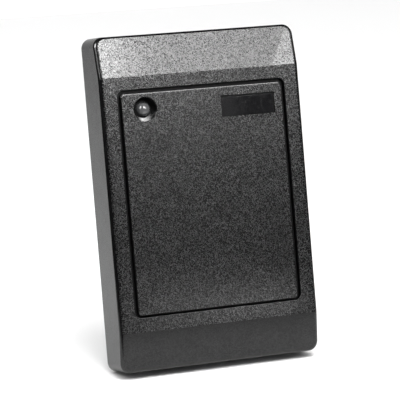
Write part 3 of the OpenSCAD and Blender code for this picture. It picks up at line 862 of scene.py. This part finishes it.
def make_grommet():
    """Rubber grommet with rounded flanges, which grips the plate from both sides."""
    neck_r = OUTLET_R - GROMMET_GAP
    seat_y = WALL_Y - GROMMET_FLANGE

    def draw(bm):
        outer = []
        for inset, back in reversed(rounded_edge(GROMMET_EDGE)):
            outer.append((GROMMET_R - inset, GROMMET_LOW.y + back))
        outer += [(GROMMET_R, PLATE_Y), (neck_r, PLATE_Y), (neck_r, seat_y), (GROMMET_R, seat_y)]
        for inset, back in rounded_edge(GROMMET_EDGE):
            outer.append((GROMMET_R - inset, WALL_Y - back))
        outer += [(CABLE_R, WALL_Y), (CABLE_R, GROMMET_LOW.y)]
        rows = add_loft(bm, [(circle(OUTLET, radius), depth) for radius, depth in outer], caps=False)
        for i in range(ROUND):
            j = (i + 1) % ROUND
            bm.faces.new((rows[-1][i], rows[-1][j], rows[0][j], rows[0][i]))
    piece = solid("outlet_grommet", draw)
    finish(piece, "reader_body", "seal_rubber", "cable_grommet")
    paint(piece, [MATERIALS["seal_rubber"]])


make_plate()
make_grommet()

# ---- studio ----

FLOOR_TILT = radians(12)
FLOOR_LEFT, FLOOR_RIGHT, FLOOR_FRONT, FLOOR_BACK = -0.24, 0.6, -0.13, 0.7
BEHIND_FADE, BEHIND_GLOW = (0.7, 0.86), 0.8
DOME_FADE, DOME_GLOW = (0.0, 0.7), (0.25, 1.08)
BACKDROP_GLOW = 1.2
# Points of the front that the lights are aimed at: its middle, and three with a small light of their own
CENTRE, LABEL_END, LOW_STRIP, BAND_END = (0, MID_Z), (-12, 98), (0, 17), (-39, 112)


def direction(azimuth, elevation):
    """Unit vector seen from the reader, with azimuth to the right of its front, in degrees."""
    a, e = radians(azimuth), radians(elevation)
    return Vector((sin(a) * cos(e), -cos(a) * cos(e), sin(e)))


def softbox(name, azimuth, elevation, distance, width, height, radiance, at=CENTRE):
    """Rectangular light that shines on a point of the reader's front, given in millimetres. Its distance
    and size are in metres. It shows only in gloss."""
    data = bpy.data.lights.new(name, "AREA")
    data.shape = "RECTANGLE"
    data.size = width
    data.size_y = height
    data.energy = radiance * pi * width * height
    light = bpy.data.objects.new(name, data)
    centre = Vector((at[0], FRONT, at[1])) * MM
    toward = direction(azimuth, elevation)
    turn = toward.to_track_quat("Z", "Y").to_matrix().to_4x4()
    light.matrix_world = Matrix.Translation(centre + toward * distance) @ turn
    light.visible_camera = False
    light.visible_diffuse = False
    SCENE.collection.objects.link(light)
    return light


def make_floor():
    """White floor that touches the reader's rear lower edge and falls away in front of it. It is clear
    from below, where it would hide the reader's back."""
    rise = tan(FLOOR_TILT)
    mesh = bpy.data.meshes.new("floor")
    corners = []
    for x, y in ((FLOOR_LEFT, FLOOR_FRONT), (FLOOR_RIGHT, FLOOR_FRONT), (FLOOR_RIGHT, FLOOR_BACK),
                 (FLOOR_LEFT, FLOOR_BACK)):
        corners.append((x, y, (y - RIM * MM) * rise))
    mesh.from_pydata(corners, [], [(0, 1, 2, 3)])
    floor = bpy.data.objects.new("floor", mesh)
    SCENE.collection.objects.link(floor)
    shader = Shader("floor_white", (0.9, 0.9, 0.9), 0.9)
    shader.surface.inputs["Specular IOR Level"].default_value = 0
    underside = shader.add("ShaderNodeNewGeometry").outputs["Backfacing"]
    shader.vary("Alpha", underside, 1, 0, 0, 1)
    mesh.materials.append(shader.material)


def make_world():
    """World whose gloss is bright only behind the reader, whose diffuse light is a dome that is brightest
    overhead, and which is plain white itself."""
    world = bpy.data.worlds.new("studio")
    SCENE.world = world
    world.use_nodes = True
    tree = world.node_tree
    tree.nodes.clear()

    def add(kind):
        return tree.nodes.new(kind)

    def glow(along, fade, strengths):
        """Strength that changes over fade, as the part of the ray that lies along an axis grows."""
        node = add("ShaderNodeMapRange")
        for key, value in zip(("From Min", "From Max", "To Min", "To Max"), (*fade, *strengths)):
            node.inputs[key].default_value = value
        tree.links.new(along, node.inputs["Value"])
        return node.outputs["Result"]

    def background(strength):
        node = add("ShaderNodeBackground")
        node.inputs["Color"].default_value = (1, 1, 1, 1)
        tree.links.new(strength, node.inputs["Strength"])
        return node.outputs["Background"]

    parts = add("ShaderNodeSeparateXYZ")
    tree.links.new(add("ShaderNodeTexCoord").outputs["Generated"], parts.inputs["Vector"])
    path = add("ShaderNodeLightPath")
    seen = add("ShaderNodeMix")
    tree.links.new(path.outputs["Is Camera Ray"], seen.inputs["Factor"])
    tree.links.new(glow(parts.outputs["Z"], DOME_FADE, DOME_GLOW), seen.inputs["A"])
    seen.inputs["B"].default_value = BACKDROP_GLOW
    pick = add("ShaderNodeMixShader")
    tree.links.new(path.outputs["Is Glossy Ray"], pick.inputs["Fac"])
    tree.links.new(background(seen.outputs["Result"]), pick.inputs[1])
    tree.links.new(background(glow(parts.outputs["Y"], BEHIND_FADE, (0, BEHIND_GLOW))), pick.inputs[2])
    output = add("ShaderNodeOutputWorld")
    tree.links.new(pick.outputs["Shader"], output.inputs["Surface"])


make_floor()
make_world()
# Name, azimuth, elevation, distance, width, height, radiance and where it is aimed. Fill and front show
# only in diffuse light.
softbox("key", 23.5, 21, 0.6, 0.3, 0.2, 13.5)
softbox("rim", 23.5, 28, 1.0, 0.3, 0.08, 38)
softbox("label", 23.5, -2.35, 0.15, 0.05, 0.03, 0.4, LABEL_END)
softbox("low", 23.5, -2.35, 0.05, 0.06, 0.01, 2.4, LOW_STRIP)
softbox("left", 22, 19.3, 0.06, 0.012, 0.03, 40, BAND_END)
softbox("side", -64, 34, 1.0, 0.36, 0.44, 42)
for light in (softbox("fill", -24, 50, 1.2, 1.0, 1.0, 1.7), softbox("front", 8, 50, 0.35, 0.3, 0.3, 6.4)):
    light.visible_glossy = False
    light.visible_diffuse = True
SCENE.view_settings.view_transform = "Standard"
